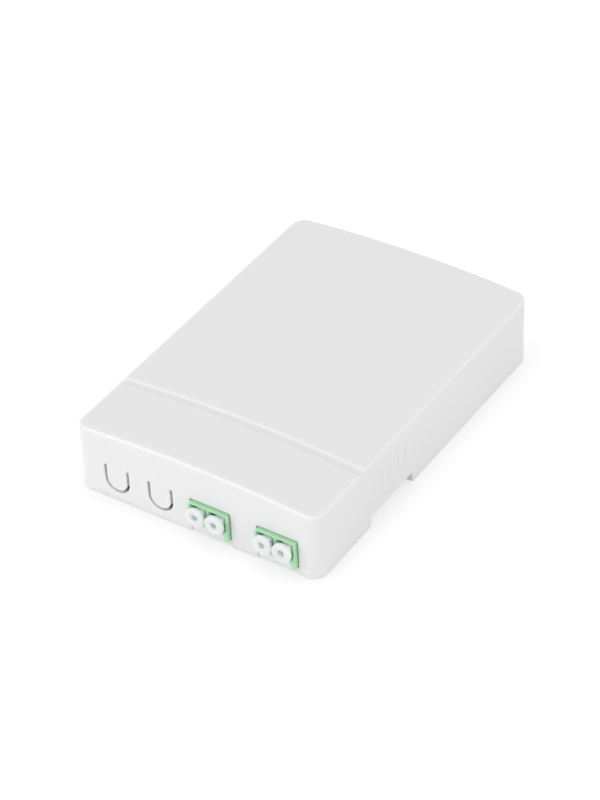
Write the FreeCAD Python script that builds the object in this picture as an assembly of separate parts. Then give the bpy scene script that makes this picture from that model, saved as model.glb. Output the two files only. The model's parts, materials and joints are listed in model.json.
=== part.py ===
import FreeCAD, Part
import math
import os

from FreeCAD import Vector

# Fibre optic distribution box: a shallow wall box that ends a drop cable in four fibre ports.
# Millimetres. X runs along the front face, Y from the front face to the back, Z away from the wall.
# The origin is the centre of the flat face that lies against the wall.

# Outer case
box_width = 80.0
box_length = 115.0
side_height = 22.0
crown_rise = 1.9
corner_radius = 4.2
cover_wall = 2.0
cover_top = 2.0
top_edge_round = 0.9
cover_edge_lift = 0.3

# Groove across the top, behind the adapter compartment
groove_from_front = 21.7
groove_width = 2.9
groove_depth = 0.5
groove_slope = 0.7

# Adapter windows in the front wall, open downwards so that the cover lifts over the adapters
adapter_count = 2
adapter_edge_gap = 13.05
adapter_pitch = 21.85
window_play = 0.3
window_corner = 0.5

# U-shaped knock-outs for two cables
knockout_count = 2
knockout_edge_gap = 13.75
knockout_pitch = 14.7
knockout_width = 7.5
knockout_low = 3.75
knockout_high = 12.1
knockout_slot = 0.9

# Side grips and side notches
notch_from_front = 26.3
notch_length = 22.2
notch_height = 3.6
notch_corner = 1.0
notch_rim_gap = 1.0
grip_count = 5
grip_pitch = 4.0
grip_low = 10.0
grip_high = 17.0
grip_width = 1.3
grip_rise = 0.35
grip_end_slope = 0.8

# Inside of the cover
cover_rib_width = 1.2
cover_rib_depth = 1.6
cover_rib_count = 2
cover_rib_pitch = 34.0
snap_length = 8.0
snap_reach = 0.3
snap_height = 3.4
snap_slope = 1.0
snap_notch_gap = 7.0
snap_back_inset = 16.5

# Base
base_gap = 0.4
base_floor = 2.0
rim_wall = 1.6
rim_height = 6.0
rim_front_end = 12.0
sill_height = 2.4
sill_setback = 0.3
sill_side_gap = 0.1
sill_lip_height = 2.2
sill_lip_thickness = 1.3
sill_lip_short = 1.4
sill_lip_play = 0.1
wall_hole_radius = 2.25
wall_hole_side_inset = 7.6
wall_hole_front_inset = 33.1
wall_hole_back_inset = 11.1
wall_boss_radius = 4.6
wall_boss_height = 4.0
cable_entry_x = -12.0
cable_entry_from_front = 36.5
cable_entry_length = 20.0
cable_entry_width = 12.0
cable_entry_collar = 1.4
cable_entry_height = 4.5

# Duplex adapter, two shells welded back to back
adapter_width = 12.8
adapter_height = 9.3
adapter_length = 27.0
adapter_proud = 1.4
adapter_seat_gap = 0.1
adapter_corner = 0.4
port_pitch = 6.25
port_axis_rise = 6.2
port_side = 4.8
port_mouth = 0.4
latch_width = 3.0
latch_drop = 1.6
latch_depth = 9.0
middle_wall = 1.5
collar_thickness = 1.0
collar_reach = 0.7
sleeve_outer_radius = 0.81
sleeve_inner_radius = 0.625
sleeve_length = 6.8
sleeve_split = 0.3
holder_wall = 0.5
sleeve_play = 0.06
clip_thickness = 0.3
clip_play = 0.05
clip_start = 3.0
clip_length = 6.5
clip_leg = 7.0
clip_flare = 1.0
clip_finger_inset = 1.0
clip_finger_drop = 2.0
clip_window_gap = 0.2
cradle_play = 0.15
cradle_wall = 1.3
cradle_height = 6.2
cradle_front = 4.5
cradle_back = 2.2
cradle_foot = 1.0
collar_play = 0.15

# Dust caps
cap_radius = 3.0
cap_stub = 1.9
cap_flange = 1.1
cap_hole_radius = 1.05
cap_hole_depth = 3.5
cap_stem_play = 0.15
cap_stem_length = 8.0
cap_key_cut = 2.1

# Cable clamp
clamp_from_front = 7.5
clamp_length = 7.0
clamp_half_span = 15.6
clamp_groove_radius = 2.6
clamp_split_gap = 0.2
clamp_bar = 2.2
clamp_hump = 1.4
clamp_screw_offset = 13.3
screw_shank_radius = 1.15
screw_pilot_play = 0.05
screw_hole_play = 0.3
screw_length = 7.5
screw_end_gap = 0.4
screw_head_radius = 2.2
screw_head_height = 1.6

# Splice tray, its lid and comb
tray_side_gap = 3.6
tray_back_gap = 5.1
connector_room = 19.9
tray_rise = 9.0
tray_floor = 1.2
tray_wall = 1.2
tray_depth = 7.0
tray_corner = 9.0
tray_entry_width = 7.0
tray_entry_inset = 12.0
hub_radius = 13.0
hub_end_gap = 7.0
hub_height = 5.0
hub_gate = 9.0
tab_count = 3
tab_end_inset = 13.0
tab_width = 6.0
tab_reach = 3.0
tab_thickness = 1.0
lid_thickness = 1.0
lid_gap = 0.1
lid_notch_radius = 5.0
lid_corner_ease = 0.3
comb_length = 18.0
comb_width = 17.0
comb_floor = 1.0
comb_height = 4.4
comb_grooves = 4
comb_pitch = 3.8
comb_groove_width = 2.7
comb_mouth_width = 2.2
comb_seat_gap = 0.05
post_radius = 2.6
post_inset_x = 14.0
post_inset_y = 4.5
pin_radius = 1.2
pin_height = 1.8
pin_play = 0.1
tongue_width = 9.0
tongue_wall = 1.2
tongue_gap = 0.3
tongue_barb = 0.9
guide_radius = 20.0
guide_wall = 1.2
guide_height = 5.0
guide_angle = 50.0

# How far a cutter runs past what it cuts, and how exactly an edge is picked by its height
overrun = 1.0
pick_margin = 0.01

# Worked out from the sizes above
front_y = -box_length / 2
crown_radius = ((box_width / 2) ** 2 + crown_rise ** 2) / (2 * crown_rise)
crown_centre_z = side_height + crown_rise - crown_radius
groove_y = front_y + groove_from_front
notch_y = front_y + notch_from_front
notch_end_y = notch_y + notch_length
snap_y = [notch_y - snap_notch_gap, notch_end_y + snap_notch_gap, box_length / 2 - snap_back_inset]
base_width = box_width - 2 * (cover_wall + base_gap)
base_length = box_length - 2 * (cover_wall + base_gap)
base_corner = corner_radius - cover_wall - base_gap
adapter_bottom = sill_height + adapter_seat_gap
adapter_top = adapter_bottom + adapter_height
adapter_half = adapter_length / 2
window_width = adapter_width + 2 * window_play
window_top = adapter_top + window_play
adapter_split_y = front_y - adapter_proud + adapter_half
port_z = adapter_bottom + port_axis_rise
holder_bore = sleeve_outer_radius + sleeve_play
holder_radius = holder_bore + holder_wall
holder_length = sleeve_length / 2 + sleeve_play
cap_stem_half = port_side / 2 - cap_stem_play
first_knockout_x = -box_width / 2 + knockout_edge_gap
last_adapter_x = box_width / 2 - adapter_edge_gap
wall_hole_x = base_width / 2 - wall_hole_side_inset
wall_hole_front_y = -base_length / 2 + wall_hole_front_inset
wall_hole_back_y = base_length / 2 - wall_hole_back_inset
cable_entry_y = front_y + cable_entry_from_front
cable_z = knockout_low + knockout_width / 2
clamp_x = first_knockout_x + knockout_pitch * (knockout_count - 1) / 2
clamp_y = front_y + clamp_from_front
saddle_top = cable_z - clamp_split_gap / 2
clamp_bottom = cable_z + clamp_split_gap / 2
clamp_top = clamp_bottom + clamp_bar
tray_width = base_width - 2 * tray_side_gap
tray_front_y = adapter_split_y + adapter_half + connector_room
tray_back_y = base_length / 2 - tray_back_gap
tray_length = tray_back_y - tray_front_y
tray_middle_y = (tray_front_y + tray_back_y) / 2
hub_straight = tray_width - 2 * (hub_end_gap + hub_radius)
tab_pitch = (tray_length - 2 * tab_end_inset) / (tab_count - 1)
tray_floor_top = tray_rise + tray_floor
tray_top = tray_rise + tray_depth + tray_floor
adapter_x = [last_adapter_x - adapter_pitch * k for k in reversed(range(adapter_count))]
knockout_x = [first_knockout_x + knockout_pitch * k for k in range(knockout_count)]

X = Vector(1, 0, 0)
Y = Vector(0, 1, 0)
Z = Vector(0, 0, 1)


def block(x_low, x_high, y_low, y_high, z_low, z_high):
    """Solid between two corners."""
    size = (x_high - x_low, y_high - y_low, z_high - z_low)
    return Part.makeBox(*size, Vector(x_low, y_low, z_low))


def fuse_all(shapes):
    """One shape from many that touch or overlap."""
    joined = shapes[0].multiFuse(shapes[1:]) if len(shapes) > 1 else shapes[0]
    return joined.removeSplitter()


def polygon_prism(points, travel):
    """Straight extrusion of a closed outline given by its corners."""
    outline = Part.makePolygon(points + points[:1])
    return Part.Face(outline).extrude(travel)


def rounded_prism(width, length, radius, z_low, z_high, centre=Vector(0, 0, 0)):
    """Upright prism of a rectangle with round corners."""
    reach_x = width / 2 - radius
    reach_y = length / 2 - radius
    corners = [(reach_x, reach_y), (-reach_x, reach_y), (-reach_x, -reach_y), (reach_x, -reach_y)]
    arcs = []
    for turn, (x, y) in enumerate(corners):
        middle = centre + Vector(x, y, z_low)
        circle = Part.Circle(middle, Z, radius)
        arcs.append(Part.Arc(circle, math.radians(90 * turn), math.radians(90 * turn + 90)))
    edges = []
    for turn, arc in enumerate(arcs):
        following = arcs[(turn + 1) % len(arcs)]
        edges.append(arc.toShape())
        edges.append(Part.LineSegment(arc.EndPoint, following.StartPoint).toShape())
    return Part.Face(Part.Wire(edges)).extrude(Z * (z_high - z_low))


def stadium_prism(straight, radius, z_low, z_high, centre):
    """Upright prism of two half circles joined by straight sides along X."""
    middle = block(
        centre.x - straight / 2, centre.x + straight / 2,
        centre.y - radius, centre.y + radius, z_low, z_high)
    ends = [
        Part.makeCylinder(radius, z_high - z_low, Vector(centre.x + side * straight / 2, centre.y, z_low))
        for side in (-1, 1)]
    return fuse_all([middle] + ends)


def crown_cylinder(drop):
    """Large cylinder whose top is the crowned top, lowered by a distance."""
    start = Vector(0, -box_length, crown_centre_z)
    return Part.makeCylinder(crown_radius - drop, 2 * box_length, start, Y)


def mirrored_y(shape, plane_y):
    """Copy turned front to back about a plane."""
    return shape.mirror(Vector(0, plane_y, 0), Y)


# Cover

def cover_cavity():
    """Space inside the cover's walls and under its crowned top."""
    prism = rounded_prism(
        box_width - 2 * cover_wall, box_length - 2 * cover_wall, corner_radius - cover_wall,
        0, side_height + crown_rise)
    return prism.common(crown_cylinder(cover_top))


def cover_outside():
    """Outer form with the crowned top and its rounded edge."""
    prism = rounded_prism(
        box_width, box_length, corner_radius, cover_edge_lift, side_height + 2 * crown_rise)
    body = prism.common(crown_cylinder(0))
    top_edges = [edge for edge in body.Edges if edge.BoundBox.ZMin > side_height - pick_margin]
    return body.makeFillet(top_edge_round, top_edges)


def groove_cutter():
    """Trapezoid section swung about the crown's own axis, so the groove follows the top."""
    swing = math.degrees(math.asin(0.5 * box_width / crown_radius)) + 1
    section = [
        (groove_y - groove_slope, crown_radius + groove_depth),
        (groove_y + groove_slope, crown_radius - groove_depth),
        (groove_y + groove_width - groove_slope, crown_radius - groove_depth),
        (groove_y + groove_width + groove_slope, crown_radius + groove_depth)]
    points = [Vector(0, y, crown_centre_z + radius) for y, radius in section]
    face = Part.Face(Part.makePolygon(points + points[:1]))
    face.rotate(Vector(0, 0, crown_centre_z), Y, -swing)
    return face.revolve(Vector(0, 0, crown_centre_z), Y, 2 * swing)


def window_cutter(x):
    """Adapter opening through the front wall, open at the cover's lower edge."""
    opening = block(
        x - window_width / 2, x + window_width / 2,
        front_y - cover_wall, front_y + 2 * cover_wall, -window_top, window_top)
    upper = [
        edge for edge in opening.Edges
        if edge.BoundBox.ZMin > window_top - pick_margin and edge.BoundBox.YLength > cover_wall]
    return opening.makeFillet(window_corner, upper)


def knockout_cutter(x):
    """U-shaped slot that leaves a tongue hanging from its top."""
    outer = knockout_width / 2 + knockout_slot / 2
    inner = knockout_width / 2 - knockout_slot / 2
    start = front_y - cover_wall
    depth = 3 * cover_wall

    def tongue(radius):
        round_end = Part.makeCylinder(radius, depth, Vector(x, start, cable_z), Y)
        straight = block(x - radius, x + radius, start, start + depth, cable_z, knockout_high)
        return round_end.fuse(straight)

    return tongue(outer).cut(tongue(inner))


def side_notch_cutter(side):
    """Notch in the lower edge of one side wall."""
    x_low = side * box_width / 2 - 2 * cover_wall
    opening = block(
        x_low, x_low + 4 * cover_wall, notch_y, notch_y + notch_length, -notch_height, notch_height)
    upper = [
        edge for edge in opening.Edges
        if edge.BoundBox.ZMin > notch_height - pick_margin and edge.BoundBox.XLength > cover_wall]
    return opening.makeFillet(notch_corner, upper)


def grip_ribs(side):
    """Low round ribs with sloped ends for the fingers, above the side notch."""
    rib_radius = (grip_width ** 2 / 4 + grip_rise ** 2) / (2 * grip_rise)
    wall_x = box_width / 2
    root_x = wall_x - cover_wall / 2
    crest_x = wall_x + grip_rise
    section = [(root_x, grip_low), (wall_x, grip_low), (crest_x, grip_low + grip_end_slope),
               (crest_x, grip_high - grip_end_slope), (wall_x, grip_high), (root_x, grip_high)]
    points = [Vector(side * x, notch_y, z) for x, z in section]
    band = polygon_prism(points, Y * notch_length)
    middle_y = notch_y + notch_length / 2
    ribs = []
    for k in range(grip_count):
        y = middle_y + (k - (grip_count - 1) / 2) * grip_pitch
        rib = Part.makeCylinder(
            rib_radius, grip_high - grip_low, Vector(side * (crest_x - rib_radius), y, grip_low))
        ribs.append(rib.common(band))
    return ribs


def cover_ribs():
    """Stiffening ribs across the underside of the top."""
    band = cover_cavity().cut(crown_cylinder(cover_top + cover_rib_depth))
    ribs = []
    for k in range(cover_rib_count):
        y = tray_middle_y + (k - (cover_rib_count - 1) / 2) * cover_rib_pitch
        slab = block(
            -box_width, box_width, y - cover_rib_width / 2, y + cover_rib_width / 2,
            0, side_height + crown_rise)
        ribs.append(band.common(slab))
    return ribs


def snap_barbs():
    """Small wedges inside the side walls that hold the cover on the base's rim."""
    inner_x = box_width / 2 - cover_wall
    root = inner_x + cover_wall / 2
    section = [(root, snap_height - snap_slope), (inner_x, snap_height - snap_slope),
               (inner_x - snap_reach, snap_height), (inner_x, snap_height + snap_slope),
               (root, snap_height + snap_slope)]
    barbs = []
    for side in (-1, 1):
        for y in snap_y:
            points = [Vector(side * x, y - snap_length / 2, z) for x, z in section]
            barbs.append(polygon_prism(points, Y * snap_length))
    return barbs


def cover():
    """Moulded cover: one crowned shell with its windows, knock-outs, notches, ribs and barbs."""
    shell = cover_outside().cut(cover_cavity())
    shell = fuse_all([shell] + cover_ribs() + snap_barbs() + grip_ribs(-1) + grip_ribs(1))
    cutters = [groove_cutter()]
    cutters += [window_cutter(x) for x in adapter_x]
    cutters += [knockout_cutter(x) for x in knockout_x]
    cutters += [side_notch_cutter(side) for side in (-1, 1)]
    return shell.cut(Part.makeCompound(cutters)).removeSplitter()


# Base

def base_plate():
    """Flat floor that lies on the wall."""
    return rounded_prism(base_width, base_length, base_corner, 0, base_floor)


def base_rim():
    """Low wall inside the cover, open at the front and behind the side notches."""
    outer = rounded_prism(base_width, base_length, base_corner, 0, rim_height)
    inner = rounded_prism(
        base_width - 2 * rim_wall, base_length - 2 * rim_wall, base_corner - rim_wall,
        -overrun, rim_height + overrun)
    rim = outer.cut(inner)
    front_gap = block(
        -box_width, box_width, front_y, front_y + rim_front_end, base_floor, rim_height + overrun)
    notch_gap = block(
        -box_width, box_width, notch_y - notch_rim_gap, notch_end_y + notch_rim_gap,
        base_floor, rim_height + overrun)
    return rim.cut(front_gap).cut(notch_gap)


def sill(x):
    """Tongue of the floor under one adapter, with a lip that shows in the window."""
    half = window_width / 2 - sill_side_gap
    y_low = front_y + sill_setback
    y_high = adapter_split_y + cradle_back
    y_lip = y_low + sill_lip_thickness
    lip_end = x + adapter_width / 2 - sill_lip_short
    tongue = block(x - half, x + half, y_low, y_high, 0, sill_height)
    return tongue.fuse(block(x - half, lip_end, y_low, y_lip, 0, sill_height + sill_lip_height))


def cradle(x):
    """Two cheeks that hold one adapter by its collar."""
    inner = adapter_width / 2 + cradle_play
    outer = inner + cradle_wall
    top = base_floor + cradle_height
    y_low = adapter_split_y - cradle_front
    y_high = adapter_split_y + cradle_back
    slot_half = adapter_width / 2 + collar_reach + collar_play
    slot = block(
        x - slot_half, x + slot_half,
        adapter_split_y - collar_thickness - collar_play, adapter_split_y + collar_play,
        sill_height, top + overrun)
    cheeks = []
    for side in (-1, 1):
        section = [(outer + cradle_wall / 2, base_floor / 2), (outer, base_floor + cradle_foot),
                   (outer, top - cradle_wall / 2), (outer - cradle_wall / 2, top),
                   (inner + cradle_wall / 4, top), (inner, top - cradle_wall / 2), (inner, base_floor / 2)]
        points = [Vector(x + side * across, y_low, z) for across, z in section]
        cheeks.append(polygon_prism(points, Y * (y_high - y_low)).cut(slot))
    return cheeks


def wall_hole_points():
    """Centres of the four wall screw holes."""
    return [
        Vector(side * wall_hole_x, y, 0)
        for side in (-1, 1) for y in (wall_hole_front_y, wall_hole_back_y)]


def wall_hole_cutter(point):
    """Round screw hole through the floor and its boss."""
    return Part.makeCylinder(wall_hole_radius, 2 * wall_boss_height, point - Z)


def cable_entry(extra, z_low, z_high):
    """Rounded opening through the floor for a cable that comes out of the wall."""
    radius = cable_entry_width / 2 + extra
    straight = cable_entry_length - cable_entry_width
    return stadium_prism(straight, radius, z_low, z_high, Vector(cable_entry_x, cable_entry_y, 0))


def cable_saddle():
    """Block with one groove for each cable and a pilot hole for each screw."""
    saddle = block(
        clamp_x - clamp_half_span, clamp_x + clamp_half_span,
        clamp_y, clamp_y + clamp_length, base_floor / 2, saddle_top)
    for x in knockout_x:
        groove = Part.makeCylinder(
            clamp_groove_radius, clamp_length + 2 * overrun, Vector(x, clamp_y - overrun, cable_z), Y)
        saddle = saddle.cut(groove)
    for point in clamp_screw_points():
        depth = screw_length - clamp_bar - clamp_split_gap + screw_end_gap
        pilot = Part.makeCylinder(
            screw_shank_radius + screw_pilot_play, depth, Vector(point.x, point.y, saddle_top - depth))
        saddle = saddle.cut(pilot)
    return saddle


def clamp_screw_points():
    """Centres of the clamp screws at the top face of the clamp."""
    y = clamp_y + clamp_length / 2
    return [Vector(clamp_x + side * clamp_screw_offset, y, clamp_top) for side in (-1, 1)]


def post_points():
    """Centres of the four posts that carry the tray."""
    reach_x = tray_width / 2 - post_inset_x
    reach_y = tray_length / 2 - post_inset_y
    return [
        Vector(sx * reach_x, tray_middle_y + sy * reach_y, 0)
        for sx in (-1, 1) for sy in (-1, 1)]


def pin_points():
    """The two posts, at opposite corners, that have a pin for the tray."""
    points = post_points()
    return [points[0], points[-1]]


def tray_post(point):
    """Round post under the tray."""
    root = base_floor / 2
    return Part.makeCylinder(post_radius, tray_rise - root, point + Z * root)


def tray_pin(point):
    """Pin on top of a post, which stands in a hole of the tray."""
    return Part.makeCylinder(pin_radius, tray_rise + pin_height - base_floor, point + Z * base_floor)


def tray_tongue(side):
    """Springy tongue with a barb that holds the tray and its lid down."""
    inner = tray_width / 2 + tongue_gap
    barb_z = tray_top + lid_gap + lid_thickness + tongue_gap
    section = [(inner, base_floor / 2), (inner + tongue_wall, base_floor / 2),
               (inner + tongue_wall, barb_z + tongue_barb), (inner, barb_z + tongue_barb),
               (inner - tongue_barb, barb_z), (inner, barb_z)]
    points = [Vector(side * x, tray_middle_y - tongue_width / 2, z) for x, z in section]
    return polygon_prism(points, Y * tongue_width)


def fibre_guide(side):
    """Arc of low wall that keeps spare fibre in a gentle loop under the tray."""
    centre = Vector(0, tray_middle_y, base_floor / 2)
    height = base_floor / 2 + guide_height
    ring = Part.makeCylinder(guide_radius + guide_wall / 2, height, centre)
    ring = ring.cut(Part.makeCylinder(guide_radius - guide_wall / 2, height, centre))
    reach = 2 * guide_radius
    spread = reach * math.tan(math.radians(guide_angle / 2))
    wedge = polygon_prism(
        [centre, centre + Vector(side * reach, -spread, 0), centre + Vector(side * reach, spread, 0)],
        Z * height)
    return ring.common(wedge)


def base():
    """Wall plate with everything that is moulded on it."""
    pieces = [base_plate(), base_rim(), cable_saddle()]
    pieces += [sill(x) for x in adapter_x]
    for x in adapter_x:
        pieces += cradle(x)
    for point in wall_hole_points():
        pieces.append(Part.makeCylinder(wall_boss_radius, wall_boss_height, point))
    pieces.append(cable_entry(cable_entry_collar, base_floor / 2, cable_entry_height))
    pieces += [tray_post(point) for point in post_points()]
    pieces += [tray_pin(point) for point in pin_points()]
    pieces += [tray_tongue(side) for side in (-1, 1)]
    pieces += [fibre_guide(side) for side in (-1, 1)]
    body = fuse_all(pieces)
    cutters = [wall_hole_cutter(point) for point in wall_hole_points()]
    cutters.append(cable_entry(0, -overrun, cable_entry_height + overrun))
    return body.cut(Part.makeCompound(cutters)).removeSplitter()


# Adapters

def port_offsets():
    """Places of the two ports across the adapter."""
    return (-port_pitch / 2, port_pitch / 2)


def adapter_shell(x):
    """Rear half shell of one adapter, from the weld plane to its open end."""
    y_low = adapter_split_y
    y_high = adapter_split_y + adapter_half
    half = adapter_width / 2
    body = block(x - half, x + half, y_low, y_high, adapter_bottom, adapter_top)
    long_edges = [edge for edge in body.Edges if edge.BoundBox.YLength > 1]
    body = body.makeChamfer(adapter_corner, long_edges)
    return body.cut(Part.makeCompound([port_cutter(x + offset) for offset in port_offsets()]))


def port_cutter(x):
    """Square port with a bevelled mouth, a latch channel below it and the sleeve's tube inside."""
    y_wall = adapter_split_y + middle_wall
    y_mouth = adapter_split_y + adapter_half
    half = port_side / 2
    pocket = block(x - half, x + half, y_wall, y_mouth, port_z - half, port_z + half)
    flare = half + port_mouth
    rims = []
    for reach, y in ((half, y_mouth - port_mouth), (flare, y_mouth)):
        square = [Vector(x + a * reach, y, port_z + b * reach)
                  for a, b in ((-1, -1), (1, -1), (1, 1), (-1, 1))]
        rims.append(Part.makePolygon(square + square[:1]))
    mouth = Part.makeLoft(rims, True, True)
    channel = block(
        x - latch_width / 2, x + latch_width / 2, y_mouth - latch_depth, y_mouth,
        port_z - half - latch_drop, port_z)
    axis_start = Vector(x, adapter_split_y, port_z)
    holder = Part.makeCylinder(holder_radius, holder_length, axis_start, Y)
    bore = Part.makeCylinder(holder_bore, holder_length + 2 * overrun, axis_start - Y * overrun, Y)
    return fuse_all([pocket, mouth, channel]).cut(holder).fuse(bore)


def adapter_front(x):
    """Front half shell, with the collar for the base's cradle and a step over the sill's lip."""
    shell = mirrored_y(adapter_shell(x), adapter_split_y)
    step_y = front_y + sill_setback + sill_lip_thickness + sill_lip_play
    step_z = sill_height + sill_lip_height + sill_lip_play
    step_end = x + adapter_width / 2 - sill_lip_short + sill_lip_play
    shell = shell.cut(block(
        x - adapter_width, step_end, front_y - 2 * adapter_proud, step_y, 0, step_z))
    reach = adapter_width / 2 + collar_reach
    collar = block(
        x - reach, x + reach, adapter_split_y - collar_thickness, adapter_split_y,
        adapter_bottom, adapter_top - collar_reach)
    hollow = block(
        x - adapter_width / 2 + adapter_corner, x + adapter_width / 2 - adapter_corner,
        adapter_split_y - 2 * collar_thickness, adapter_split_y + overrun,
        adapter_bottom - overrun, adapter_top + overrun)
    return fuse_all([shell, collar.cut(hollow)])


def split_sleeve(x):
    """Ceramic tube with one slit along it, which lines up the two ferrules."""
    start = Vector(x, adapter_split_y - sleeve_length / 2, port_z)
    tube = Part.makeCylinder(sleeve_outer_radius, sleeve_length, start, Y)
    tube = tube.cut(Part.makeCylinder(sleeve_inner_radius, sleeve_length, start, Y))
    slit = block(
        x - sleeve_split / 2, x + sleeve_split / 2, start.y - overrun, start.y + sleeve_length + overrun,
        port_z, port_z + 2 * sleeve_outer_radius)
    return tube.cut(slit)


def adapter_sleeves(x):
    """The two sleeves of one adapter."""
    return Part.makeCompound([split_sleeve(x + offset) for offset in port_offsets()])


def adapter_clip(x):
    """Folded steel strip over the rear shell, with a sprung finger on each side."""
    inner = adapter_width / 2 + clip_play
    outer = inner + clip_thickness
    top = adapter_top + clip_play
    y_low = adapter_split_y + clip_start
    y_high = y_low + clip_length
    strap = block(x - outer, x + outer, y_low, y_high, top - clip_leg, top + clip_thickness)
    corners = [
        edge for edge in strap.Edges
        if edge.BoundBox.YLength > clip_length / 2 and edge.BoundBox.ZMin > top]
    strap = strap.makeFillet(2 * clip_thickness, corners)
    strap = strap.cut(block(
        x - inner, x + inner, y_low - overrun, y_high + overrun, top - clip_leg - overrun, top))
    fingers = []
    for side in (-1, 1):
        z_low = top - clip_leg + clip_finger_inset
        z_high = top - clip_finger_drop
        y_root = y_high - clip_finger_inset
        y_tip = y_low + clip_finger_inset
        section = [(inner, y_root), (inner, y_root - clip_thickness), (inner + clip_flare, y_tip),
                   (outer + clip_flare, y_tip), (outer, y_root)]
        window = block(
            x + inner if side > 0 else x - outer - overrun, x + outer + overrun if side > 0 else x - inner,
            y_tip, y_root, z_low - clip_window_gap, z_high + clip_window_gap)
        strap = strap.cut(window)
        points = [Vector(x + side * across, y, z_low) for across, y in section]
        fingers.append(polygon_prism(points, Z * (z_high - z_low)))
    return fuse_all([strap] + fingers)


# Dust caps

def cap_stem(x):
    """Square stem with two opposite corners cut off, so the cap goes in two ways round."""
    half = cap_stem_half
    cut = cap_key_cut
    corners = [(-half, -half), (-half, half - cut), (cut - half, half),
               (half, half), (half, cut - half), (half - cut, -half)]
    start_y = adapter_split_y + adapter_half - cap_stem_length
    points = [Vector(x + across, start_y, port_z + rise) for across, rise in corners]
    return polygon_prism(points, Y * (cap_stem_length + cap_stub - cap_flange / 2))


def dust_cap(x):
    """Cap for a rear port: round flange with a blind hole, and a stem in the port."""
    end = Vector(x, adapter_split_y + adapter_half + cap_stub, port_z)
    flange = Part.makeCylinder(cap_radius, cap_flange, end - Y * cap_flange, Y)
    hole = Part.makeCylinder(cap_hole_radius, 2 * cap_hole_depth, end - Y * cap_hole_depth, Y)
    return cap_stem(x).fuse(flange).cut(hole)


def front_cap(x):
    """The same cap in a front port."""
    return mirrored_y(dust_cap(x), adapter_split_y)


# Cable clamp

def cable_clamp():
    """Flat bar with a hump over each cable and three screw holes."""
    bar = block(
        clamp_x - clamp_half_span, clamp_x + clamp_half_span,
        clamp_y, clamp_y + clamp_length, clamp_bottom, clamp_top)
    humps = [
        Part.makeCylinder(clamp_groove_radius + clamp_hump, clamp_length, Vector(x, clamp_y, cable_z), Y)
        for x in knockout_x]
    body = fuse_all([bar] + humps)
    cutters = [block(-box_width, box_width, front_y, 0, 0, clamp_bottom)]
    for x in knockout_x:
        cutters.append(Part.makeCylinder(
            clamp_groove_radius, clamp_length + 2 * overrun, Vector(x, clamp_y - overrun, cable_z), Y))
    for point in clamp_screw_points():
        cutters.append(Part.makeCylinder(
            screw_shank_radius + screw_hole_play, 2 * clamp_bar, point - Z * 1.5 * clamp_bar))
    return body.cut(fuse_all(cutters))


def clamp_screw(point):
    """Plain round screw with its head on the clamp."""
    shank = Part.makeCylinder(screw_shank_radius, screw_length, point - Z * screw_length)
    return shank.fuse(Part.makeCylinder(screw_head_radius, screw_head_height, point))


# Splice tray

def splice_tray():
    """Shallow tray with a fibre hub, retaining tabs, entries and holes for the base's pins."""
    centre = Vector(0, tray_middle_y, 0)
    outside = rounded_prism(tray_width, tray_length, tray_corner, tray_rise, tray_top, centre)
    inside = rounded_prism(
        tray_width - 2 * tray_wall, tray_length - 2 * tray_wall, tray_corner - tray_wall,
        tray_floor_top, tray_top + overrun, centre)
    body = outside.cut(inside)
    hub_low = tray_floor_top - tray_floor / 2
    hub = stadium_prism(hub_straight, hub_radius, hub_low, tray_floor_top + hub_height, centre)
    hub = hub.cut(stadium_prism(
        hub_straight, hub_radius - tray_wall, hub_low, tray_floor_top + hub_height, centre))
    hub = hub.cut(block(
        -tray_width, tray_width, tray_middle_y - hub_gate / 2, tray_middle_y + hub_gate / 2,
        0, tray_top))
    pieces = [body, hub] + tray_tabs()
    tray = fuse_all(pieces)
    cutters = []
    for side in (-1, 1):
        x = side * (tray_width / 2 - tray_entry_inset)
        cutters.append(block(
            x - tray_entry_width / 2, x + tray_entry_width / 2,
            tray_front_y - overrun, tray_front_y + 2 * tray_wall,
            tray_floor_top, tray_top + overrun))
    for point in pin_points():
        cutters.append(Part.makeCylinder(pin_radius + pin_play, tray_top, point))
    return tray.cut(Part.makeCompound(cutters))


def tray_tabs():
    """Small tabs that reach inwards from the tray's wall and keep the fibre down."""
    tabs = []
    z_high = tray_top
    z_low = tray_top - tab_thickness
    for side in (-1, 1):
        x_wall = side * (tray_width / 2 - tray_wall / 2)
        x_tip = side * (tray_width / 2 - tray_wall - tab_reach)
        for k in range(tab_count):
            y = tray_middle_y + (k - (tab_count - 1) / 2) * tab_pitch
            tabs.append(block(
                min(x_wall, x_tip), max(x_wall, x_tip),
                y - tab_width / 2, y + tab_width / 2, z_low, z_high))
    return tabs


def tray_lid():
    """Clear flat lid over the tray with a finger notch at its front edge."""
    centre = Vector(0, tray_middle_y, 0)
    z_low = tray_top + lid_gap
    sheet = rounded_prism(
        tray_width, tray_length, tray_corner - lid_corner_ease, z_low, z_low + lid_thickness, centre)
    notch = Part.makeCylinder(
        lid_notch_radius, 3 * lid_thickness, Vector(0, tray_front_y, z_low - lid_thickness))
    return sheet.cut(notch)


def splice_comb():
    """Soft comb in the hub with one groove for each splice sleeve."""
    z_low = tray_floor_top + comb_seat_gap
    y_low = tray_middle_y - comb_width / 2
    body = block(-comb_length / 2, comb_length / 2, y_low, y_low + comb_width, z_low, z_low + comb_height)
    for k in range(comb_grooves):
        y = tray_middle_y + (k - (comb_grooves - 1) / 2) * comb_pitch
        radius = comb_groove_width / 2
        axis_z = z_low + comb_floor + radius
        groove = Part.makeCylinder(
            radius, comb_length + 2 * overrun, Vector(-comb_length / 2 - overrun, y, axis_z), X)
        mouth = block(
            -comb_length, comb_length, y - comb_mouth_width / 2, y + comb_mouth_width / 2,
            axis_z, z_low + comb_height + overrun)
        body = body.cut(groove.fuse(mouth))
    return body


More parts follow.
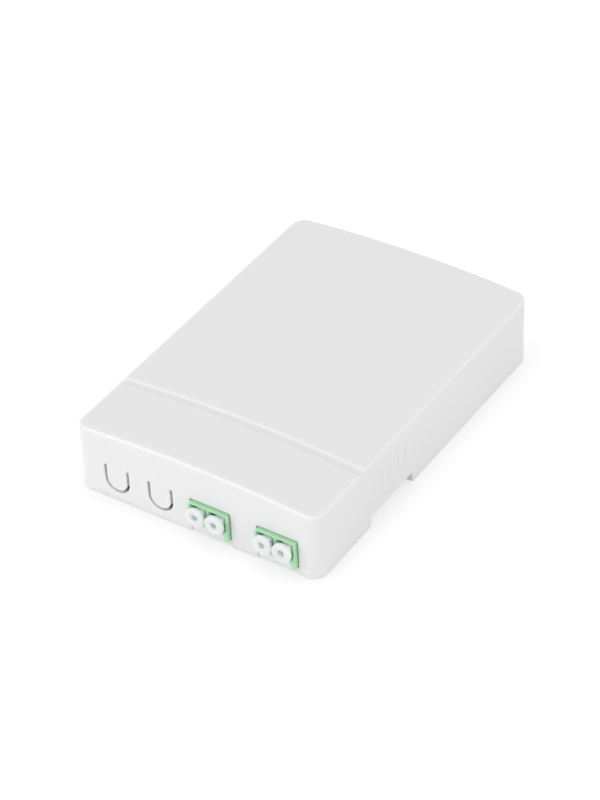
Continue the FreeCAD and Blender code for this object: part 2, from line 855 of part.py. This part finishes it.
def build():
    """All pieces of the box by node name."""
    nodes = {"cover": cover(), "base": base()}
    for name, x in zip(("left", "right"), adapter_x):
        nodes[name + "_adapter_front"] = adapter_front(x)
        nodes[name + "_adapter_rear"] = adapter_shell(x)
        nodes[name + "_adapter_sleeves"] = adapter_sleeves(x)
        nodes[name + "_adapter_clip"] = adapter_clip(x)
    port_x = [x + offset for x in adapter_x for offset in port_offsets()]
    for number, x in enumerate(port_x, start=1):
        nodes["front_cap_%d" % number] = front_cap(x)
        nodes["rear_cap_%d" % number] = dust_cap(x)
    nodes["cable_clamp"] = cable_clamp()
    nodes["clamp_screws"] = Part.makeCompound([clamp_screw(point) for point in clamp_screw_points()])
    nodes["splice_tray"] = splice_tray()
    nodes["tray_lid"] = tray_lid()
    nodes["splice_comb"] = splice_comb()
    return nodes


os.makedirs("parts", exist_ok=True)
for node, shape in build().items():
    shape.exportStep("parts/" + node + ".step")
    print(node, "solids", len(shape.Solids), "valid", shape.isValid(), "volume", round(shape.Volume, 1))
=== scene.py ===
# %% [markdown]
# # A fibre optic distribution box
# The box is a small white wall box that ends a fibre cable in four ports. Its solids come from the
# CAD model, so this lesson is about looks: soft edges, moulded plastic, milky dust caps and light.
# Loading the frame first gives every solid at its real size, in metres, ready to be dressed.

# %% Load the CAD frame
import json
import math

import bpy
from mathutils import Euler, Matrix, Vector


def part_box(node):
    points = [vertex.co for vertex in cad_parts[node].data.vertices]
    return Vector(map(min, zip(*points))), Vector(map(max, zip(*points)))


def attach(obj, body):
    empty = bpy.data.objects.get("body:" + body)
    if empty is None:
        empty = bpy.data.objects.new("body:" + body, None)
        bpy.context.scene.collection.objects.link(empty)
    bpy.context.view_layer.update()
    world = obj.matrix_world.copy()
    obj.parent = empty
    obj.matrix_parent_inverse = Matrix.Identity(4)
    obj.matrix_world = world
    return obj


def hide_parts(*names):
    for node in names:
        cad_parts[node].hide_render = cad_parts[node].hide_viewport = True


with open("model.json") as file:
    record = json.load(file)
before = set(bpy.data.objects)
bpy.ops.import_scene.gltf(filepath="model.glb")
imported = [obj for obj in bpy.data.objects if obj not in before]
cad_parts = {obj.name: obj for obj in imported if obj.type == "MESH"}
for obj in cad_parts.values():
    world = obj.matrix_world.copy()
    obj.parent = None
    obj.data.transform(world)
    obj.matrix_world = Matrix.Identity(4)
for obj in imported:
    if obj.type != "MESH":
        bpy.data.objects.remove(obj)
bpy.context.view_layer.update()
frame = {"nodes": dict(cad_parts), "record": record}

MM = 0.001
nodes = frame["nodes"]
body_of = {}
for body, members in frame["record"]["behaviour"]["bodies"].items():
    for member in members:
        body_of[member] = body

# %% [markdown]
# ## The camera
# A long lens keeps the box's edges nearly parallel, as product photographs do. The camera looks
# down on the front right corner. Its turn is written as azimuth, elevation and a small roll, which is
# easier to read than nine numbers of a matrix.

# %% Camera
camera_azimuth = math.radians(34.57)
camera_elevation = math.radians(38.91)
camera_roll = math.radians(-2.69)
camera_distance = 0.7453
camera_aim = Vector((12.2, -22.2, 27.4)) * MM
camera_lens = 121.95

away = Vector((
    math.sin(camera_azimuth) * math.cos(camera_elevation),
    -math.cos(camera_azimuth) * math.cos(camera_elevation),
    math.sin(camera_elevation)))
upright = Euler((math.pi / 2 - camera_elevation, 0, camera_azimuth)).to_matrix()
turned = upright @ Matrix.Rotation(camera_roll, 3, "Z")
bpy.ops.object.camera_add(location=camera_aim + away * camera_distance, rotation=turned.to_euler())
camera = bpy.context.object
camera.data.lens = camera_lens
camera.data.clip_start = 0.01
bpy.context.scene.camera = camera
print("camera stands at", [round(value, 3) for value in camera.location])

# %% [markdown]
# ## Light and floor
# The photograph was taken in a bright white tent: the light comes from everywhere, a little more of it
# from the front left. A pale world gives the even part, and soft lamps give the direction.
# The world is pure white only where the camera, a mirror or glass sees it.

# %% World
def add_node(tree, kind, **settings):
    """New shader node with its settings."""
    node = tree.nodes.new(kind)
    for name, value in settings.items():
        setattr(node, name, value)
    return node


def add_math(tree, operation, first, second):
    """Math node; each input is a number or another node's output."""
    node = add_node(tree, "ShaderNodeMath", operation=operation)
    for socket, value in zip(node.inputs, (first, second)):
        if isinstance(value, (int, float)):
            socket.default_value = value
        else:
            tree.links.new(value, socket)
    return node.outputs["Value"]


def seen_directly(tree):
    """1 for rays that the camera, gloss or glass sends out, 0 for the rays that light the object."""
    path = add_node(tree, "ShaderNodeLightPath")
    seen = add_math(tree, "MAXIMUM", path.outputs["Is Camera Ray"], path.outputs["Is Glossy Ray"])
    return add_math(tree, "MAXIMUM", seen, path.outputs["Is Transmission Ray"])


world_light = 0.80
world = bpy.data.worlds.new("tent")
bpy.context.scene.world = world
world.use_nodes = True
tree = world.node_tree
tree.nodes.clear()
glow = add_node(tree, "ShaderNodeBackground")
spread = add_math(tree, "MULTIPLY", seen_directly(tree), 1 - world_light)
tree.links.new(add_math(tree, "ADD", spread, world_light), glow.inputs["Strength"])
glow.inputs["Color"].default_value = (1, 1, 1, 1)
tree.links.new(glow.outputs["Background"], add_node(tree, "ShaderNodeOutputWorld").inputs["Surface"])
print("world light", world_light)

# %% [markdown]
# ## Lamps
# Large square lamps stand for the tent's lit walls. Each is described by its direction and by the share
# of full white light that it adds, and its power is worked out from that, so it can be moved without
# losing its balance. The last lamp is seen only by gloss: it draws a bright line along the right top
# edge and lights nothing else.

# %% Lamps
def soft_lamp(name, direction, distance, size, share, lights_matt=True):
    """Square lamp that adds a share of full white light to a surface that faces it."""
    toward = Vector(direction).normalized()
    bpy.ops.object.light_add(
        type="AREA", location=toward * distance, rotation=toward.to_track_quat("Z", "Y").to_euler())
    lamp = bpy.context.object
    lamp.name = name
    lamp.data.shape = "SQUARE"
    lamp.data.size = size
    lamp.data.energy = share * math.pi ** 2 * distance ** 2
    lamp.visible_diffuse = lights_matt
    lamp.visible_camera = False
    print(name, "energy", round(lamp.data.energy, 2), "W")


soft_lamp("front_left_softbox", (-0.45, -0.88, 0.52), 1.3, 1.3, 0.41)
soft_lamp("right_softbox", (0.95, -0.1, 0.38), 1.4, 1.0, 0.18)
soft_lamp("edge_light", (0.765, 0.641, 0.1), 1.4, 0.25, 0.08, lights_matt=False)

# %% [markdown]
# ## Floor
# A sheet of pale paper lights the box from below. Seen directly, it is a mix of two things: the real
# paper, which keeps the shadow that the lamps cast, and a plain white with a painted contact shadow,
# which grows a little darker close to the box. An Ambient Occlusion node says how much is hidden within
# a few millimetres.

# %% Floor
floor_size = 4.0
floor_white = 0.85
floor_seen = 1.10
cast_share = 0.25
painted_shade_reach = 8 * MM
painted_shade_depth = 0.25
bpy.ops.mesh.primitive_plane_add(size=floor_size, location=(0, 0, 0))
floor = bpy.context.object
floor.name = "floor"
paper = bpy.data.materials.new("floor_paper")
paper.use_nodes = True
tree = paper.node_tree
tree.nodes.clear()
matt = add_node(tree, "ShaderNodeBsdfDiffuse")
matt.inputs["Color"].default_value = (floor_white, floor_white, floor_white, 1)
# Painted shadow: the plain white seen directly grows darker where the Ambient Occlusion node finds the box
# close by.
nearby = add_node(tree, "ShaderNodeAmbientOcclusion", samples=16)
nearby.inputs["Distance"].default_value = painted_shade_reach
hidden = add_math(tree, "SUBTRACT", 1.0, nearby.outputs["AO"])
painted_contact_shade = add_math(tree, "MULTIPLY", hidden, painted_shade_depth)
bright = add_node(tree, "ShaderNodeEmission")
tree.links.new(add_math(tree, "SUBTRACT", floor_seen, painted_contact_shade), bright.inputs["Strength"])
both = add_node(tree, "ShaderNodeMixShader")
tree.links.new(add_math(tree, "MULTIPLY", seen_directly(tree), 1 - cast_share), both.inputs["Fac"])
tree.links.new(matt.outputs["BSDF"], both.inputs[1])
tree.links.new(bright.outputs["Emission"], both.inputs[2])
tree.links.new(both.outputs["Shader"], add_node(tree, "ShaderNodeOutputMaterial").inputs["Surface"])
floor.data.materials.append(paper)
print("floor of", floor_size, "m, shaded within", round(painted_shade_reach / MM, 1), "mm of the box")

# %% [markdown]
# ## A moulded surface
# Every plastic piece here came out of a steel mould. Its colour is even but not perfectly flat, its
# gloss wanders a little, and the mould's fine spark texture shows as tiny bumps. The colour is also
# darkened in narrow recesses, found by an Ambient Occlusion node: that is painted shade. All plastics
# share this, so it is a node group with named inputs. It puts out a colour, a roughness and a height.

# %% Moulded surface group
def group_socket(group, name, kind, way, value=None, low=None, high=None):
    """Named socket on the outside of a node group."""
    socket = group.interface.new_socket(name=name, in_out=way, socket_type=kind)
    if value is not None:
        socket.default_value = value
    if low is not None:
        socket.min_value = low
        socket.max_value = high
    return socket


def noise(tree, place, scale, detail, roughness=0.5):
    """Noise value around one half."""
    node = add_node(tree, "ShaderNodeTexNoise", noise_dimensions="3D")
    node.inputs["Detail"].default_value = detail
    node.inputs["Roughness"].default_value = roughness
    tree.links.new(place, node.inputs["Vector"])
    if isinstance(scale, (int, float)):
        node.inputs["Scale"].default_value = scale
    else:
        tree.links.new(scale, node.inputs["Scale"])
    return node.outputs["Fac"]


def moulded_group():
    """Colour drift, painted shade in narrow recesses, gloss drift and fine bumps of a moulded plastic."""
    group = bpy.data.node_groups.new("moulded_surface", "ShaderNodeTree")
    group_socket(group, "Color", "NodeSocketColor", "INPUT", (0.8, 0.8, 0.8, 1))
    group_socket(group, "Deep Color", "NodeSocketColor", "INPUT", (0.6, 0.6, 0.6, 1))
    group_socket(group, "Drift", "NodeSocketFloat", "INPUT", 0.3, 0, 1)
    group_socket(group, "Drift Scale", "NodeSocketFloat", "INPUT", 40, 0, 1000)
    group_socket(group, "Grain Scale", "NodeSocketFloat", "INPUT", 2500, 0, 20000)
    group_socket(group, "Roughness", "NodeSocketFloat", "INPUT", 0.4, 0, 1)
    group_socket(group, "Roughness Drift", "NodeSocketFloat", "INPUT", 0.1, 0, 1)
    group_socket(group, "Painted Recess Shade", "NodeSocketFloat", "INPUT", 0.2, 0, 1)
    group_socket(group, "Color", "NodeSocketColor", "OUTPUT")
    group_socket(group, "Roughness", "NodeSocketFloat", "OUTPUT")
    group_socket(group, "Height", "NodeSocketFloat", "OUTPUT")
    inside = add_node(group, "NodeGroupInput")
    out = add_node(group, "NodeGroupOutput")
    place = add_node(group, "ShaderNodeTexCoord").outputs["Object"]
    broad = noise(group, place, inside.outputs["Drift Scale"], 3)
    fine = noise(group, place, inside.outputs["Grain Scale"], 2, 0.6)
    fleck = noise(group, place, add_math(group, "MULTIPLY", inside.outputs["Grain Scale"], 0.23), 2)

    drift_and_painted_shade = add_math(group, "MULTIPLY", broad, inside.outputs["Drift"])
    # Painted shade: narrow recesses, found by the Ambient Occlusion node, are darkened towards the deep
    # colour.
    hidden = add_node(group, "ShaderNodeAmbientOcclusion", samples=8, only_local=True)
    hidden.inputs["Distance"].default_value = 1.2 * MM
    painted_nook_shade = add_math(group, "SUBTRACT", 1.0, hidden.outputs["AO"])
    painted_nook_shade = add_math(group, "MULTIPLY", painted_nook_shade, inside.outputs["Painted Recess Shade"])
    drift_and_painted_shade = add_math(group, "ADD", drift_and_painted_shade, painted_nook_shade)
    blend = add_node(group, "ShaderNodeMix", data_type="RGBA", clamp_factor=True)
    group.links.new(drift_and_painted_shade, blend.inputs["Factor"])
    group.links.new(inside.outputs["Color"], blend.inputs["A"])
    group.links.new(inside.outputs["Deep Color"], blend.inputs["B"])
    group.links.new(blend.outputs["Result"], out.inputs["Color"])

    swing = add_math(group, "SUBTRACT", add_math(group, "ADD", broad, fleck), 1.0)
    swing = add_math(group, "MULTIPLY", swing, inside.outputs["Roughness Drift"])
    gloss = add_math(group, "ADD", inside.outputs["Roughness"], swing)
    group.links.new(gloss, out.inputs["Roughness"])
    rise = add_math(group, "ADD", fine, add_math(group, "MULTIPLY", fleck, 0.6))
    group.links.new(rise, out.inputs["Height"])
    return group


moulded = moulded_group()
print("group", moulded.name, "has", len(moulded.interface.items_tree), "sockets")

# %% [markdown]
# ## Plastics
# One function makes every plastic from the shared group. What is constant over a surface, such as the
# index of refraction or the coat, sits on the shader's own sockets, where other programs can read it.
# The housing and the caps let light sink in a little, which keeps their fine slots from turning black.

# %% Plastic materials
def shade(value):
    """Linear colour from an 8-bit screen colour."""
    def channel(level):
        level = level / 255
        return level / 12.92 if level <= 0.04045 else ((level + 0.055) / 1.055) ** 2.4
    return tuple(channel(level) for level in value) + (1,)


# Most plastics below get painted shade in their narrow recesses; the cover and the caps are set to none.
def plastic(name, colour, drift_and_shade_colour, drift=0.3, drift_scale=40, grain_scale=2500, grain_depth=0.01,
            roughness=0.4, roughness_drift=0.1, painted_recess_shade=0.2, **constants):
    """Moulded plastic: the group feeds colour, roughness and bump, and the rest stays constant."""
    material = bpy.data.materials.new(name)
    material.use_nodes = True
    tree = material.node_tree
    tree.nodes.clear()
    shader = add_node(tree, "ShaderNodeBsdfPrincipled")
    surface = add_node(tree, "ShaderNodeGroup", node_tree=moulded)
    values = {"Color": shade(colour), "Deep Color": shade(drift_and_shade_colour), "Drift": drift,
              "Drift Scale": drift_scale, "Grain Scale": grain_scale, "Roughness": roughness,
              "Roughness Drift": roughness_drift, "Painted Recess Shade": painted_recess_shade}
    for socket, value in values.items():
        surface.inputs[socket].default_value = value
    bump = add_node(tree, "ShaderNodeBump")
    bump.inputs["Strength"].default_value = 0.5
    bump.inputs["Distance"].default_value = grain_depth * MM
    tree.links.new(surface.outputs["Height"], bump.inputs["Height"])
    tree.links.new(surface.outputs["Color"], shader.inputs["Base Color"])
    tree.links.new(surface.outputs["Roughness"], shader.inputs["Roughness"])
    tree.links.new(bump.outputs["Normal"], shader.inputs["Normal"])
    for socket, value in constants.items():
        shader.inputs[socket.replace("_", " ")].default_value = value
    tree.links.new(shader.outputs["BSDF"], add_node(tree, "ShaderNodeOutputMaterial").inputs["Surface"])
    print("plastic", name)
    return material


cover_white = plastic(
    "cover_white", (230, 230, 230), (222, 222, 222), roughness=0.32, painted_recess_shade=0, Subsurface_Weight=0.5,
    Subsurface_Scale=1.3 * MM, Subsurface_Radius=(1, 1, 1))
base_white = plastic("base_white", (231, 232, 233), (219, 220, 222), roughness=0.5)
clamp_white = plastic("clamp_white", (226, 227, 228), (212, 213, 215), roughness=0.46)
tray_white = plastic("tray_white", (224, 226, 227), (210, 212, 215), roughness=0.44)
adapter_green = plastic(
    "adapter_green", (178, 224, 184), (130, 191, 140), drift=0.25, drift_scale=220, grain_depth=0.006,
    roughness=0.32, painted_recess_shade=0.2, IOR=1.5, Subsurface_Weight=0.3, Subsurface_Scale=2 * MM,
    Subsurface_Radius=(0.7, 1, 0.7))
cap_milky = plastic(
    "cap_milky", (245, 253, 255), (231, 243, 248), drift=0.2, drift_scale=300, grain_depth=0.004,
    roughness=0.3, painted_recess_shade=0, Transmission_Weight=0.11, Subsurface_Weight=0.8,
    Subsurface_Scale=3.5 * MM, Subsurface_Radius=(1, 1, 1), Coat_Weight=0.2, Coat_Roughness=0.2)
sleeve_ceramic = plastic(
    "sleeve_ceramic", (240, 239, 232), (226, 224, 214), grain_depth=0.001, roughness=0.12)
comb_grey = plastic(
    "comb_grey", (88, 91, 96), (66, 68, 72), drift_scale=300, grain_depth=0.02, roughness=0.75)

# %% [markdown]
# ## Steel and clear sheet
# The adapter clips and the clamp screws are bright metal. Rolled strip has fine lines along one way,
# so its noise is stretched by a Mapping node. The tray's lid is a clear sheet: it lets light through,
# and faint wiping marks keep it from looking like nothing. Glass stops the light that falls on things
# below it, so the rays that only carry light meet a plain see-through pane instead.

# %% Metal and clear materials
def metal(name, colour, stretch, roughness):
    """Bright metal with fine lines along one axis."""
    material = bpy.data.materials.new(name)
    material.use_nodes = True
    tree = material.node_tree
    tree.nodes.clear()
    shader = add_node(tree, "ShaderNodeBsdfPrincipled")
    shader.inputs["Metallic"].default_value = 1
    place = add_node(tree, "ShaderNodeTexCoord").outputs["Object"]
    mapping = add_node(tree, "ShaderNodeMapping")
    mapping.inputs["Scale"].default_value = stretch
    tree.links.new(place, mapping.inputs["Vector"])
    lines = noise(tree, mapping.outputs["Vector"], 9000, 2)
    tint = add_node(tree, "ShaderNodeMix", data_type="RGBA")
    tint.inputs["A"].default_value = shade(colour)
    tint.inputs["B"].default_value = shade([level * 0.86 for level in colour])
    tree.links.new(lines, tint.inputs["Factor"])
    tree.links.new(tint.outputs["Result"], shader.inputs["Base Color"])
    gloss = add_math(tree, "ADD", add_math(tree, "MULTIPLY", lines, 0.2), roughness)
    tree.links.new(gloss, shader.inputs["Roughness"])
    bump = add_node(tree, "ShaderNodeBump")
    bump.inputs["Strength"].default_value = 0.3
    bump.inputs["Distance"].default_value = 0.002 * MM
    tree.links.new(lines, bump.inputs["Height"])
    tree.links.new(bump.outputs["Normal"], shader.inputs["Normal"])
    tree.links.new(shader.outputs["BSDF"], add_node(tree, "ShaderNodeOutputMaterial").inputs["Surface"])
    return material


def clear_sheet(name):
    """Clear acrylic with faint wiping marks."""
    material = bpy.data.materials.new(name)
    material.use_nodes = True
    tree = material.node_tree
    tree.nodes.clear()
    shader = add_node(tree, "ShaderNodeBsdfPrincipled")
    shader.inputs["Transmission Weight"].default_value = 1
    shader.inputs["IOR"].default_value = 1.49
    place = add_node(tree, "ShaderNodeTexCoord").outputs["Object"]
    marks = noise(tree, place, 60, 4)
    tint = add_node(tree, "ShaderNodeMix", data_type="RGBA")
    tint.inputs["A"].default_value = shade((248, 251, 252))
    tint.inputs["B"].default_value = shade((241, 247, 249))
    tree.links.new(marks, tint.inputs["Factor"])
    tree.links.new(tint.outputs["Result"], shader.inputs["Base Color"])
    gloss = add_math(tree, "ADD", add_math(tree, "MULTIPLY", marks, 0.1), 0.01)
    tree.links.new(gloss, shader.inputs["Roughness"])
    bump = add_node(tree, "ShaderNodeBump")
    bump.inputs["Strength"].default_value = 0.2
    bump.inputs["Distance"].default_value = 0.01 * MM
    tree.links.new(marks, bump.inputs["Height"])
    tree.links.new(bump.outputs["Normal"], shader.inputs["Normal"])
    path = add_node(tree, "ShaderNodeLightPath")
    lets_through = add_math(tree, "MAXIMUM", path.outputs["Is Shadow Ray"], path.outputs["Is Diffuse Ray"])
    pane = add_node(tree, "ShaderNodeBsdfTransparent")
    pane.inputs["Color"].default_value = shade((246, 250, 251))
    both = add_node(tree, "ShaderNodeMixShader")
    tree.links.new(lets_through, both.inputs["Fac"])
    tree.links.new(shader.outputs["BSDF"], both.inputs[1])
    tree.links.new(pane.outputs["BSDF"], both.inputs[2])
    tree.links.new(both.outputs["Shader"], add_node(tree, "ShaderNodeOutputMaterial").inputs["Surface"])
    return material


clip_steel = metal("clip_steel", (204, 206, 208), (0.05, 1, 1), 0.2)
screw_steel = metal("screw_steel", (190, 191, 193), (1, 1, 3), 0.22)
lid_clear = clear_sheet("lid_clear")

# %% [markdown]
# ## Soft edges
# A CAD solid has knife-sharp edges, and a real moulding never has: a tiny radius catches the light on
# every corner. Each solid is copied, its loose triangles are merged into whole faces, and a Bevel
# modifier rounds the sharp edges by about a tenth of a millimetre. The copy then stands for the solid.

# %% Edge softening
def deselect_all():
    """Leave nothing selected, so that the next operator acts on one piece only."""
    bpy.ops.object.select_all(action="DESELECT")


def make_active(piece):
    """Select one piece alone."""
    deselect_all()
    piece.select_set(True)
    bpy.context.view_layer.objects.active = piece


sharp_angle = 28


def apply_bevel(piece, width, angle):
    """Round every edge sharper than an angle."""
    make_active(piece)
    bevel = piece.modifiers.new("soft_edges", "BEVEL")
    bevel.width = width
    bevel.segments = 2
    bevel.limit_method = "ANGLE"
    bevel.angle_limit = math.radians(angle)
    bevel.use_clamp_overlap = True
    bpy.ops.object.modifier_apply(modifier=bevel.name)


def even_faces(piece):
    """Split hollow-cornered faces, which shade badly, and turn all faces outwards."""
    make_active(piece)
    bpy.ops.object.mode_set(mode="EDIT")
    bpy.ops.mesh.select_all(action="SELECT")
    bpy.ops.mesh.vert_connect_concave()
    bpy.ops.mesh.normals_make_consistent(inside=False)
    bpy.ops.object.mode_set(mode="OBJECT")


def flatten_walls(piece):
    """Let the large faces set the shading, so that flat walls shade flat up to their soft edges."""
    weighted = piece.modifiers.new("flat_walls", "WEIGHTED_NORMAL")
    weighted.weight = 80
    weighted.keep_sharp = True
    bpy.ops.object.modifier_apply(modifier=weighted.name)


def cut_away(piece, tool):
    """Take a tool's shape away from a piece and delete the tool."""
    make_active(piece)
    cut = piece.modifiers.new("cut", "BOOLEAN")
    cut.operation = "DIFFERENCE"
    cut.object = tool
    bpy.ops.object.modifier_apply(modifier=cut.name)
    make_active(tool)
    bpy.ops.object.delete()


def stand_for(piece, node):
    """Let a piece ride with its node's body and hide the node."""
    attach(piece, body_of[node])
    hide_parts(node)
    print(piece.name, len(piece.data.polygons), "faces")


def softened(node, width, material, carve=None):
    """Merged copy of a CAD node with softly rounded edges, standing for that node."""
    piece = bpy.data.objects.new(node + "_moulding", nodes[node].data.copy())
    bpy.context.scene.collection.objects.link(piece)
    make_active(piece)
    bpy.ops.object.mode_set(mode="EDIT")
    bpy.ops.mesh.select_all(action="SELECT")
    bpy.ops.mesh.remove_doubles(threshold=0.0005 * MM)
    bpy.ops.mesh.dissolve_limited(angle_limit=math.radians(0.2))
    bpy.ops.object.mode_set(mode="OBJECT")
    if carve:
        carve(piece)
    even_faces(piece)
    if width:
        apply_bevel(piece, width, sharp_angle)
        even_faces(piece)
    bpy.ops.object.shade_smooth_by_angle(angle=math.radians(sharp_angle))
    flatten_walls(piece)
    piece.data.materials.clear()
    piece.data.materials.append(material)
    stand_for(piece, node)


print("edges sharper than", sharp_angle, "degrees get a radius")

# %% [markdown]
# ## Parting line
# Low on the front wall, and on the sills below the ports, a fine line runs along the mouldings. A thin
# bar is placed half inside the wall, and a Boolean modifier takes it away, which leaves a groove as
# thin as a pencil line. That is done before the edges are softened, so its own edges become soft too.

# %% Parting line
cover_low, cover_high = [Vector(corner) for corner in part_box("cover")]
line_height = 0.24 * MM
line_depth = 0.15 * MM
line_above_wall_face = 1.0 * MM
corner_room = 5 * MM


def cut_parting_line(piece):
    """Groove along the straight part of a piece's front."""
    front = min(vertex.co.y for vertex in piece.data.vertices)
    deselect_all()
    bpy.ops.mesh.primitive_cube_add(
        size=1, location=((cover_low.x + cover_high.x) / 2, front, line_above_wall_face),
        scale=(cover_high.x - cover_low.x - 2 * corner_room, 2 * line_depth, line_height))
    cut_away(piece, bpy.context.object)


print("the line runs", round(line_above_wall_face / MM, 2), "mm above the wall face")

# %% [markdown]
# ## Dressed solids
# Each solid is now dressed in its own plastic. The housing's mouldings get a radius of about a tenth of
# a millimetre and the small green and white parts a finer one. Sleeves and clips are too thin for a
# bevel, so they keep their edges.

# %% Dressed solids
softened("cover", 0.06 * MM, cover_white, carve=cut_parting_line)
softened("base", 0.06 * MM, base_white, carve=cut_parting_line)
softened("cable_clamp", 0.15 * MM, clamp_white)
softened("splice_tray", 0.12 * MM, tray_white)
softened("splice_comb", 0.15 * MM, comb_grey)
softened("tray_lid", 0.12 * MM, lid_clear)
for side in ("left", "right"):
    softened(side + "_adapter_front", 0.08 * MM, adapter_green)
    softened(side + "_adapter_rear", 0.08 * MM, adapter_green)
    softened(side + "_adapter_sleeves", 0, sleeve_ceramic)
    softened(side + "_adapter_clip", 0, clip_steel)
for number in range(1, 5):
    softened("front_cap_%d" % number, 0.08 * MM, cap_milky)
    softened("rear_cap_%d" % number, 0.08 * MM, cap_milky)

# %% [markdown]
# ## Clamp screws
# Two small pan-head screws hold the cable clamp. The CAD has plain cylinders in their places, because
# threads and the cross in a head are too fine for it. A turned shape like this one grows well out of a
# circle: its face is extruded upwards ring by ring, and each ring is widened or narrowed on the way. That
# is quicker than fitting cylinders together, and it leaves one closed skin.

# %% One screw
screws_low, screws_high = [Vector(corner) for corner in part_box("clamp_screws")]
screw_head_radius = (screws_high.y - screws_low.y) / 2
screw_head_height = 1.6 * MM
screw_tip = 0.5 * MM
core_radius = 0.85 * MM
screw_gap = screws_high.x - screws_low.x - 2 * screw_head_radius
screw_foot = Vector((screws_low.x + screw_head_radius, (screws_low.y + screws_high.y) / 2, screws_low.z))
head_z = screws_high.z - screw_head_height


def raise_ring(rise, spread, centre):
    """Extrude the selected end face upwards and widen or narrow it."""
    bpy.ops.mesh.extrude_region_move(TRANSFORM_OT_translate={"value": (0, 0, rise)})
    bpy.ops.transform.resize(value=(spread, spread, 1), center_override=centre)


deselect_all()
bpy.ops.mesh.primitive_circle_add(
    vertices=48, radius=core_radius * 0.5, fill_type="NGON", location=screw_foot)
screw = bpy.context.object
bpy.ops.object.mode_set(mode="EDIT")
bpy.ops.mesh.select_all(action="SELECT")
raise_ring(screw_tip, 2, screw_foot)
raise_ring(head_z - screw_foot.z - screw_tip, 1, screw_foot)
raise_ring(0, screw_head_radius / core_radius, screw_foot)
raise_ring(screw_head_height * 0.45, 1, screw_foot)
raise_ring(screw_head_height * 0.35, 0.86, screw_foot)
raise_ring(screw_head_height * 0.2, 0.72, screw_foot)
bpy.ops.mesh.select_all(action="SELECT")
bpy.ops.mesh.normals_make_consistent(inside=False)
bpy.ops.object.mode_set(mode="OBJECT")
print("screw height", round((screws_high.z - screws_low.z) / MM, 2), "mm")

# %% [markdown]
# ## Cross in the head
# The screwdriver's cross is two slots that meet. Two bars stand half inside the head, one along X and
# one along Y, and a Boolean modifier takes each of them away. The edges that this leaves are sharp, so a
# very fine bevel follows.

# %% Cross in the head
cross_reach = 1.3 * MM
cross_width = 0.6 * MM
cross_depth = 0.8 * MM
for reach_x, reach_y in ((cross_reach, cross_width / 2), (cross_width / 2, cross_reach)):
    deselect_all()
    bpy.ops.mesh.primitive_cube_add(
        size=2, location=(screw_foot.x, screw_foot.y, screws_high.z), scale=(reach_x, reach_y, cross_depth))
    cut_away(screw, bpy.context.object)
even_faces(screw)
apply_bevel(screw, 0.04 * MM, 40)
even_faces(screw)
print("cross", round(cross_reach / MM, 2), "mm reach")

# %% [markdown]
# ## Thread
# A thread is one ridge that climbs round the core. A small triangle is set beside the core with its tip
# outwards, and a Screw modifier sweeps it up the helix. It overlaps the core a little, so no gap shows.

# %% Thread
thread_radius = 1.15 * MM
thread_pitch = 0.9 * MM
thread_overlap = 0.05 * MM
ridge = (thread_radius - core_radius + thread_overlap) / 1.5
turns = int((head_z - screw_foot.z) / thread_pitch) - 2
deselect_all()
bpy.ops.mesh.primitive_circle_add(
    vertices=3, radius=ridge, location=screw_foot + Vector((0, 0, thread_pitch)),
    rotation=(math.pi / 2, math.pi / 2, 0))
thread = bpy.context.object
bpy.ops.object.transform_apply(location=False, rotation=True, scale=False)
bpy.ops.object.mode_set(mode="EDIT")
bpy.ops.mesh.select_all(action="SELECT")
bpy.ops.transform.translate(value=(thread_radius - ridge, 0, 0))
bpy.ops.object.mode_set(mode="OBJECT")
helix = thread.modifiers.new("helix", "SCREW")
helix.steps = 24
helix.render_steps = 24
helix.iterations = turns
helix.screw_offset = thread_pitch
bpy.ops.object.modifier_apply(modifier=helix.name)
bpy.ops.object.mode_set(mode="EDIT")
bpy.ops.mesh.select_all(action="SELECT")
bpy.ops.mesh.fill_holes(sides=3)
bpy.ops.mesh.select_all(action="SELECT")
bpy.ops.mesh.normals_make_consistent(inside=False)
bpy.ops.object.mode_set(mode="OBJECT")
print("thread of", turns, "turns,", len(thread.data.polygons), "faces")

# %% [markdown]
# ## Both screws
# The second screw is a copy of the first with a mesh of its own, moved to the other end of the clamp. In
# the end both become one object, because they share one place in the list of parts.

# %% Both screws
def joined(pieces, name):
    """One object from several, with its origin at the world's origin."""
    deselect_all()
    for piece in pieces:
        piece.select_set(True)
    bpy.context.view_layer.objects.active = pieces[0]
    bpy.ops.object.join()
    whole = bpy.context.object
    whole.name = name
    bpy.ops.object.transform_apply(location=True, rotation=True, scale=True)
    print(name, "has", len(whole.data.vertices), "vertices")
    return whole


screw = joined([screw, thread], "screw")
make_active(screw)
bpy.ops.object.duplicate()
bpy.ops.transform.translate(value=(screw_gap, 0, 0))
screws = joined([screw, bpy.context.object], "clamp_screws_threaded")
bpy.ops.object.shade_smooth_by_angle(angle=math.radians(35))
screws.data.materials.append(screw_steel)
stand_for(screws, "clamp_screws")

# %% [markdown]
# ## Colour handling
# The Standard view transform shows each colour as it is written, which suits a white product shot.

# %% View settings
bpy.context.scene.view_settings.view_transform = "Standard"
print("view transform", bpy.context.scene.view_settings.view_transform)
